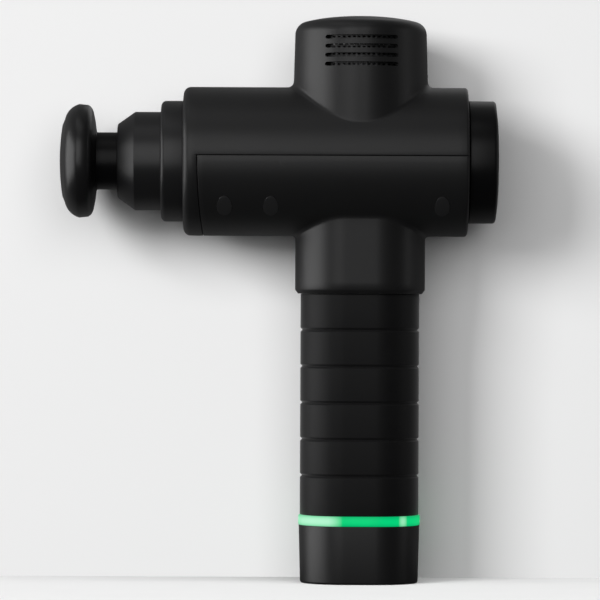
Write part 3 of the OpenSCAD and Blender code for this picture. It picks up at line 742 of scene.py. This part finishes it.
def lit_diffuser():
    """Frosted plastic with the glow strongest along its middle, and painted reflections of the lamps
    paling it near its ends.
    """
    f = Finish("lit_green_diffuser")
    place = f.place()
    parts = f.add("ShaderNodeSeparateXYZ", {}, [place])
    height = Wire(f, parts.socket.node.outputs["Z"])
    across = (height - light_low.z) / (light_high.z - light_low.z)
    middle = 1 - ((across - 0.5) * (across - 0.5) * 2.2)
    lamps = f.noise(130, 1, 0.4) * 0.35 + 0.82
    glow = f.blend((middle * lamps).clamp(), (0.0, 0.24, 0.09), (0.0, 0.64, 0.19))
    along = Wire(f, parts.socket.node.outputs["X"]) / MM
    # Painted reflections: the glow pales round these two points, where the soft box and the strip
    # lamp would show on the ring
    front_glint = (1 - (along - FRONT_GLINT_X) * (along - FRONT_GLINT_X) / FRONT_GLINT_SPREAD).clamp()
    rear_glint = (1 - (along - REAR_GLINT_X) * (along - REAR_GLINT_X) / REAR_GLINT_SPREAD).clamp()
    pale = (front_glint * 1.3 + rear_glint * 0.7).clamp() * middle
    return f.surface(Base_Color=(0.002, 0.05, 0.025, 1), Roughness=0.4, Specular_IOR_Level=0.2,
                     Emission_Color=f.blend(pale.clamp(), glow, (0.44, 0.88, 0.60)),
                     Emission_Strength=1.0)


light_finish = lit_diffuser()
light = oblong_piece(grip_columns, [(light_high.z, TUBE_R - 1 * MM, 0),
                                    (light_high.z, LIGHT_R, 0.5 * MM),
                                    (light_low.z, LIGHT_R, 0.5 * MM),
                                    (light_low.z, TUBE_R - 1 * MM, 0)])
make_piece("light_ring_diffuser", light, "housing", light_finish, ["light_ring"])

# ---------------------------------------------------------------------------
# Base cap: a moulded cup with slightly drawn-in sides and a flat bottom; screwed
# up into the handle's tube, with a recess for the charging jack.

cap_low, cap_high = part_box("base_cap")
CAP_R = cap_high.y
CAP_DRAFT = 0.6 * MM
CAP_WALL = 2.2 * MM
cap_finish = moulded_plastic("cap_grain_plastic", (0.013, 0.013, 0.0135), 0.42)
JACK_X = 12 * MM
JACK_RECESS_R = 6.5 * MM
JACK_FACE_Z = 5 * MM
SCREW_Y = 12 * MM
SCREW_HOLE_R = 3.2 * MM
SCREW_HOLE_DEPTH = 3.6 * MM
cap_floor = cap_low.z + 8 * MM
cap = oblong_piece(grip_columns, [
    (cap_floor, 0, 0), (cap_floor, CAP_R - CAP_WALL, 0),
    (cap_high.z, CAP_R - CAP_WALL, 0), (cap_high.z, CAP_R, 0.35 * MM),
    (cap_low.z, CAP_R - CAP_DRAFT, 1.0 * MM), (cap_low.z, 0, 0)], 6, closed=False)


def drill(bm, x, y, radius, depth):
    """A blind round hole up into the cap's floor."""
    made = bmesh.ops.create_cone(bm, cap_ends=True, segments=48, radius1=radius, radius2=radius,
                                 depth=depth + 2 * MM)
    for v in made["verts"]:
        v.co += Vector((x, y, cap_low.z + (depth - 2 * MM) / 2))


cap_piece = make_piece("base_cap_cup", cap, "housing", cap_finish, ["base_cap"])
cutter_mesh = bmesh.new()
drill(cutter_mesh, JACK_X, 0, JACK_RECESS_R, JACK_FACE_Z)
for side in (-1, 1):
    drill(cutter_mesh, 0, side * SCREW_Y, SCREW_HOLE_R, SCREW_HOLE_DEPTH)
cutter_data = bpy.data.meshes.new("cap_drill")
cutter_mesh.to_mesh(cutter_data)
cutter_mesh.free()
cutter = bpy.data.objects.new("cap_drill", cutter_data)
bpy.context.scene.collection.objects.link(cutter)
cut = cap_piece.modifiers.new("holes", "BOOLEAN")
cut.object, cut.operation, cut.solver = cutter, "DIFFERENCE", "EXACT"
bpy.context.view_layer.update()
graph = bpy.context.evaluated_depsgraph_get()
drilled = bpy.data.meshes.new_from_object(cap_piece.evaluated_get(graph))
cap_piece.modifiers.clear()
cap_piece.data = drilled
bpy.data.objects.remove(cutter)

# ---------------------------------------------------------------------------
# Screw plugs: six press-in plastic discs that hide the shell screws, three on
# each side, sitting a hair proud. The fine gap round each is painted shade: a thin near-black ring
# laid on the shell, with no gap cut.

PLUG_R_OUT = 3.1 * MM
PLUG_PROUD = 0.11 * MM
plug_x = [-55.8 * MM, -36.9 * MM, 33 * MM]
PLUG_Y = 23.8 * MM
PLUG_SKIRT = 1 * MM          # how far a plug's side runs in under the shell's surface
PLUG_EDGE = 0.05 * MM
PLUG_COLUMNS = 40
plug_finish = moulded_plastic("plug_plastic", (0.032, 0.032, 0.033), 0.38, 2400, 0.012)
# Painted shade: a near-black matt finish for the rings that stand in for the gaps' shadow
gap_shade_finish = rubber("gap_painted_shade", (0.004, 0.004, 0.004), 0.8)


def plug(bm, x, side, inner_r, outer_r, proud, rings):
    """A disc cut out of the body's own surface by an upright cylinder, standing proud."""

    def place(i, j):
        r = mix(inner_r, outer_r, min(j, rings) / rings)
        turn = 2 * math.pi * i / PLUG_COLUMNS
        px, py = x + r * math.cos(turn), side * PLUG_Y + r * math.sin(turn)
        radius = BODY_R + proud - (PLUG_EDGE if j == rings else 0)
        if j > rings:
            radius = BODY_R - PLUG_SKIRT
        pz = -math.sqrt(max(0, radius ** 2 - py ** 2))
        return Vector((px, py, AXIS_Z + pz))

    grid_skin(bm, PLUG_COLUMNS, rings + 1, place)


plugs, gap_shade_rings = bmesh.new(), bmesh.new()
for x in plug_x:
    for side in (-1, 1):
        plug(plugs, x, side, 0, PLUG_R_OUT, PLUG_PROUD, 5)
        # Painted shade: a near-black ring laid on the shell round each plug, where no gap is cut
        plug(gap_shade_rings, x, side, PLUG_R_OUT - 0.1 * MM, PLUG_R_OUT + 0.2 * MM, 0.02 * MM, 1)
for bm in (plugs, gap_shade_rings):
    bmesh.ops.remove_doubles(bm, verts=bm.verts, dist=FINE_WELD)
    bmesh.ops.holes_fill(bm, edges=[e for e in bm.edges if e.is_boundary], sides=0)
    bmesh.ops.recalc_face_normals(bm, faces=bm.faces)
make_piece("screw_plug_discs", plugs, "housing", plug_finish, ["screw_plugs"])
make_piece("screw_plug_gap_shade", gap_shade_rings, "housing", gap_shade_finish)

# ---------------------------------------------------------------------------
# Dial: a hollow moulded ring in satin black that turns on the rear hub, with a
# plain round side and a crowned rear face.

dial_low, dial_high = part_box("dial_ring")
DIAL_R = (dial_high.z - dial_low.z) / 2
DIAL_X0, DIAL_X1 = dial_low.x, dial_high.x
dial_finish = moulded_plastic("dial_satin_plastic", (0.006, 0.006, 0.0065), 0.36, 2400, 0.012, 0.26)
dial = turned([(DIAL_X0, 14.05 * MM, 0), (DIAL_X0, 16 * MM, 0), (DIAL_X1 - 3.6 * MM, 16 * MM, 0),
               (DIAL_X1 - 3.6 * MM, DIAL_R - 2.4 * MM, 0), (DIAL_X0, DIAL_R - 2.4 * MM, 0),
               (DIAL_X0, DIAL_R, 0.3 * MM), (DIAL_X1 - 0.9 * MM, DIAL_R - 0.1 * MM, 1.3 * MM),
               (DIAL_X1, 18 * MM, 6 * MM), (DIAL_X1 - 0.15 * MM, 15.6 * MM, 0.4 * MM),
               (DIAL_X1 - 1.0 * MM, 15.35 * MM, 0), (DIAL_X1 - 2.8 * MM, 15.35 * MM, 0),
               (DIAL_X1 - 2.8 * MM, 14.05 * MM, 0)])
make_piece("dial_ring_knob", dial, "dial", dial_finish, ["dial_ring"])

# ---------------------------------------------------------------------------
# Hub, button and speed lights: the hub stands still inside the dial and holds a
# sprung button; five small light pipes show the speed.

hub_low, hub_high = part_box("dial_hub")
HUB_R = 13.7 * MM
HUB_FACE = hub_high.x
hub = turned([(hub_low.x, 6 * MM, 0), (hub_low.x, 19 * MM, 0.3 * MM),
              (REAR_X - 2.5 * MM, 19 * MM, 0.3 * MM), (REAR_X - 2.5 * MM, HUB_R, 0),
              (HUB_FACE - 1.5 * MM, HUB_R, 0), (HUB_FACE - 1.5 * MM, HUB_R + 1.25 * MM, 0.2 * MM),
              (HUB_FACE, HUB_R + 1.2 * MM, 0.5 * MM), (HUB_FACE, 9.35 * MM, 0.3 * MM),
              (HUB_FACE - 5.9 * MM, 9.35 * MM, 0), (HUB_FACE - 5.9 * MM, 3.35 * MM, 0),
              (hub_low.x + 5 * MM, 3.35 * MM, 0), (hub_low.x + 5 * MM, 6 * MM, 0)])
make_piece("dial_hub_core", hub, "housing", dial_finish, ["dial_hub"])

button_low, button_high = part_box("power_button")
BUTTON_R = 9 * MM
button_back = button_high.x - 5.5 * MM
button = turned([(button_low.x, 0, 0), (button_low.x, 3 * MM, 0.3 * MM),
                 (button_back, 3 * MM, 0.3 * MM),
                 (button_back, BUTTON_R, 0.3 * MM), (button_high.x, BUTTON_R, 0.8 * MM),
                 (button_high.x - 0.05 * MM, 6.5 * MM, 1 * MM),
                 (button_high.x - 0.5 * MM, 3 * MM, 2 * MM), (button_high.x - 0.6 * MM, 0, 0)])
button_finish = moulded_plastic("button_satin_plastic", (0.04, 0.04, 0.043), 0.33, 2600, 0.01)
make_piece("power_button_cap", button, "button", button_finish, ["power_button"])


def light_pipe():
    """Milky clear plastic."""
    f = Finish("speed_light_pipe")
    haze = f.noise(700, 2, 0.5)
    return f.surface(Base_Color=f.blend(haze, (0.45, 0.75, 0.6), (0.7, 0.9, 0.8)),
                     Roughness=(0.15 + haze * 0.1).clamp(), Coat_Weight=0.5)


pipe_finish = light_pipe()
pipes = bmesh.new()
for k in range(-2, 3):
    turn = math.radians(24 * k)
    made = bmesh.ops.create_uvsphere(pipes, u_segments=20, v_segments=12, radius=0.9 * MM)
    centre = on_body(HUB_FACE - 0.62 * MM, turn, 11.5 * MM)
    for v in made["verts"]:
        v.co = Vector((v.co.z * 0.75, v.co.x, v.co.y)) + centre
bmesh.ops.recalc_face_normals(pipes, faces=pipes.faces)
make_piece("speed_light_pipes", pipes, "housing", pipe_finish, ["speed_lights"])

# ---------------------------------------------------------------------------
# Inner works: drive, motor, battery and boards. These pieces keep their shapes and
# each takes the finish of what it is made of.


def metal(name, colour, roughness, line_scale=900):
    """Machined or cast metal: fine tool lines, uneven shine and a trace of oxide."""
    f = Finish(name)
    place = f.place()
    stretched = f.add("ShaderNodeMapping", {}, {"Vector": place, "Scale": (1.0, 1.0, 14.0)})
    lines = f.noise(line_scale, 2, 0.5, stretched)
    oxide = f.noise(45, 4, 0.6, place)
    return f.surface(Base_Color=f.blend(oxide, tuple(c * 0.8 for c in colour), colour),
                     Metallic=1.0, Roughness=(roughness + (lines - 0.5) * 0.25).clamp(),
                     Normal=f.bump(lines, 0.15, 0.02 * MM))


def circuit_board():
    """Green solder mask over copper: traces show as slightly lighter blocks."""
    f = Finish("circuit_board_mask")
    cells = f.add("ShaderNodeTexVoronoi", {"distance": "MANHATTAN"},
                  {"Vector": f.place(), "Scale": 420.0})
    traces = (cells * 2.2).clamp()
    return f.surface(Base_Color=f.blend(traces, (0.03, 0.16, 0.08), (0.008, 0.05, 0.028)),
                     Roughness=(0.3 + traces * 0.15).clamp(), Coat_Weight=0.4)


def wrap(name, colour, roughness=0.35):
    """Shrink film or wire jacket: glossy, with faint lengthwise pulls."""
    f = Finish(name)
    pulls = f.noise(320, 3, 0.6)
    return f.surface(Base_Color=f.blend(pulls, tuple(c * 0.8 for c in colour), colour),
                     Roughness=(roughness + (pulls - 0.5) * 0.2).clamp())


inner_finishes = {
    "cast_alloy": metal("cast_alloy_metal", (0.46, 0.47, 0.49), 0.48, 300),
    "bearing_steel": metal("ground_steel", (0.62, 0.63, 0.65), 0.22),
    "dark_steel": metal("black_oxide_steel", (0.14, 0.14, 0.15), 0.36),
    "laminated_steel": metal("laminated_steel_sheet", (0.3, 0.3, 0.31), 0.4, 2600),
    "magnet": metal("plated_magnet", (0.42, 0.42, 0.43), 0.25),
    "bronze": metal("sintered_bronze", (0.52, 0.34, 0.14), 0.4),
    "copper_wire": metal("enamelled_copper", (0.6, 0.24, 0.08), 0.3, 3200),
    "hard_alloy": metal("hard_anodised_alloy", (0.25, 0.255, 0.27), 0.33),
    "nickel_strip": metal("nickel_sheet", (0.62, 0.6, 0.56), 0.28),
    "black_rubber": seal_finish,
    "inner_plastic": moulded_plastic("inner_grey_plastic", (0.05, 0.05, 0.053), 0.5),
    "holder_plastic": moulded_plastic("holder_white_plastic", (0.6, 0.6, 0.57), 0.5),
    "circuit_board": circuit_board(),
    "cell_wrap": wrap("cell_shrink_wrap", (0.03, 0.2, 0.5)),
    "wire_jacket": wrap("red_wire_jacket", (0.45, 0.02, 0.02)),
    "yellow_jacket": wrap("yellow_wire_jacket", (0.6, 0.42, 0.03)),
    "led": wrap("lamp_lens", (0.8, 1.0, 0.85), 0.2),
}
slot_of = {part["node"]: part["material_slot"] for part in frame["record"]["subparts"]}
for name, node in frame["nodes"].items():
    if slot_of[name] in inner_finishes and not node.hide_render:
        node.data.materials.clear()
        node.data.materials.append(inner_finishes[slot_of[name]])

# ---------------------------------------------------------------------------
# Stage: a pale floor under the base and a pale board close behind that takes the
# soft shadow. Each large soft lamp lights either the paper or the tool.

FLOOR_Z = 0.0
FLOOR_HALF = 3.0
BOARD_Y = 32 * MM
BOARD_HALF = 1.2
ROOM_LIGHT = 0.05
PAPER_BOUNCE = 0.15


def paper():
    """Matt white backdrop paper."""
    f = Finish("backdrop_paper")
    fibre = f.noise(40, 3, 0.5)
    return f.surface(Base_Color=f.blend(fibre, (0.80, 0.80, 0.80), (0.83, 0.83, 0.83)),
                     Roughness=0.9)


def board_paper():
    """The same paper, but seen only from its front, so the back views stay open."""
    f = Finish("board_paper")
    shader = f.add("ShaderNodeBsdfPrincipled", {},
                   {"Base Color": (0.82, 0.82, 0.82, 1), "Roughness": 0.9})
    clear = f.add("ShaderNodeBsdfTransparent")
    back = f.add("ShaderNodeNewGeometry", output="Backfacing")
    lit = f.add("ShaderNodeLightPath", output="Is Shadow Ray")
    eye = f.add("ShaderNodeLightPath", output="Is Camera Ray")
    shown = (1 - lit) * (1 - back) * (eye + (1 - eye) * PAPER_BOUNCE)
    mixed = f.add("ShaderNodeMixShader", {}, [shown, clear, shader])
    out = f.nodes.new("ShaderNodeOutputMaterial")
    f.links.new(mixed.socket, out.inputs["Surface"])
    return f.material


def stage_sheet(name, corners, material):
    """A flat sheet that belongs to the stage and not to the tool."""
    bm = bmesh.new()
    bm.faces.new([bm.verts.new(c) for c in corners])
    mesh = bpy.data.meshes.new(name)
    bm.to_mesh(mesh)
    bm.free()
    sheet = bpy.data.objects.new(name, mesh)
    bpy.context.scene.collection.objects.link(sheet)
    mesh.materials.append(material)
    return sheet


floor = stage_sheet("floor", [(-FLOOR_HALF, -FLOOR_HALF, FLOOR_Z), (FLOOR_HALF, -FLOOR_HALF, FLOOR_Z),
                              (FLOOR_HALF, FLOOR_HALF, FLOOR_Z),
                              (-FLOOR_HALF, FLOOR_HALF, FLOOR_Z)], paper())
board = stage_sheet("board", [(-BOARD_HALF, BOARD_Y, FLOOR_Z), (BOARD_HALF, BOARD_Y, FLOOR_Z),
                              (BOARD_HALF, BOARD_Y, BOARD_HALF),
                              (-BOARD_HALF, BOARD_Y, BOARD_HALF)], board_paper())

# The room is pale to look at and dim in the mouldings' reflections.
world = bpy.data.worlds.new("studio")
bpy.context.scene.world = world
world.use_nodes = True
room = world.node_tree.nodes["Background"]
room.inputs["Color"].default_value = (0.80, 0.80, 0.81, 1)
eye = world.node_tree.nodes.new("ShaderNodeLightPath")
dim = world.node_tree.nodes.new("ShaderNodeMath")
dim.operation = "MULTIPLY_ADD"
dim.inputs[1].default_value = 1 - ROOM_LIGHT
dim.inputs[2].default_value = ROOM_LIGHT
world.node_tree.links.new(eye.outputs["Is Camera Ray"], dim.inputs[0])
world.node_tree.links.new(dim.outputs[0], room.inputs["Strength"])

floor.visible_diffuse = floor.visible_glossy = False


def lit_group(name, members):
    """A collection that a lamp can be kept to."""
    group = bpy.data.collections.new(name)
    for member in members:
        group.objects.link(member)
    return group


paper_only = lit_group("paper_only", (floor, board))
floor_only = lit_group("floor_only", (floor,))
tool_only = lit_group("tool_only", [piece for piece in bpy.context.scene.objects
                                    if piece.type == "MESH" and piece not in (floor, board)])


def lamp(name, place, aim, size, radiance, lit=tool_only):
    """A rectangular soft box that faces a point and lights one group of objects."""
    data = bpy.data.lights.new(name, "AREA")
    data.shape = "RECTANGLE"
    data.size, data.size_y = size
    data.energy = radiance * math.pi * size[0] * size[1]
    light = bpy.data.objects.new(name, data)
    light.location = place
    light.rotation_euler = (Vector(aim) - Vector(place)).to_track_quat("-Z", "Y").to_euler()
    light.visible_camera = False
    bpy.context.scene.collection.objects.link(light)
    light.light_linking.receiver_collection = lit


MIDDLE = (-0.02, 0, 0.13)
lamp("paper_lamp", (-3.6, -4.0, 1.8), MIDDLE, (2.3, 2.3), 15, lit=paper_only)
lamp("paper_fill", (0.0, -3.4, 0.9), MIDDLE, (3.4, 3.0), 2.6, lit=paper_only)
lamp("floor_lamp", (0, -0.7, 2.2), (0, 0, 0), (2.4, 1.0), 5.4, lit=floor_only)
lamp("left_box", (-1.04, -0.20, 0.22), MIDDLE, (1.15, 0.95), 2.6)
lamp("front_fill", (-0.45, -2.1, 0.80), MIDDLE, (1.3, 2.0), 1.5)
lamp("top_box", (-0.25, -0.25, 1.1), MIDDLE, (0.8, 0.45), 0.55)
lamp("right_strip", (0.9, -0.16, 0.3), MIDDLE, (0.25, 0.8), 0.7)
lamp("back_box", (0.35, 0.9, 0.75), MIDDLE, (0.7, 0.7), 0.5)
bpy.context.scene.view_settings.view_transform = "Standard"

# ---------------------------------------------------------------------------
# Camera: a long lens level with the handle's middle, square to the body's side
# and turned a quarter of a degree about its own axis.

CAMERA_X = -24.75 * MM
CAMERA_Y = -1.743
CAMERA_Z = 116.5 * MM
CAMERA_ROLL = math.radians(-0.25)
LENS = 253.2
SENSOR = 36
camera_data = bpy.data.cameras.new("camera")
camera_data.sensor_width = SENSOR
camera_data.lens = LENS
camera_data.clip_start = 0.05
camera = bpy.data.objects.new("camera", camera_data)
camera.location = (CAMERA_X, CAMERA_Y, CAMERA_Z)
camera.rotation_euler = (math.pi / 2, CAMERA_ROLL, 0)
bpy.context.scene.collection.objects.link(camera)
bpy.context.scene.camera = camera
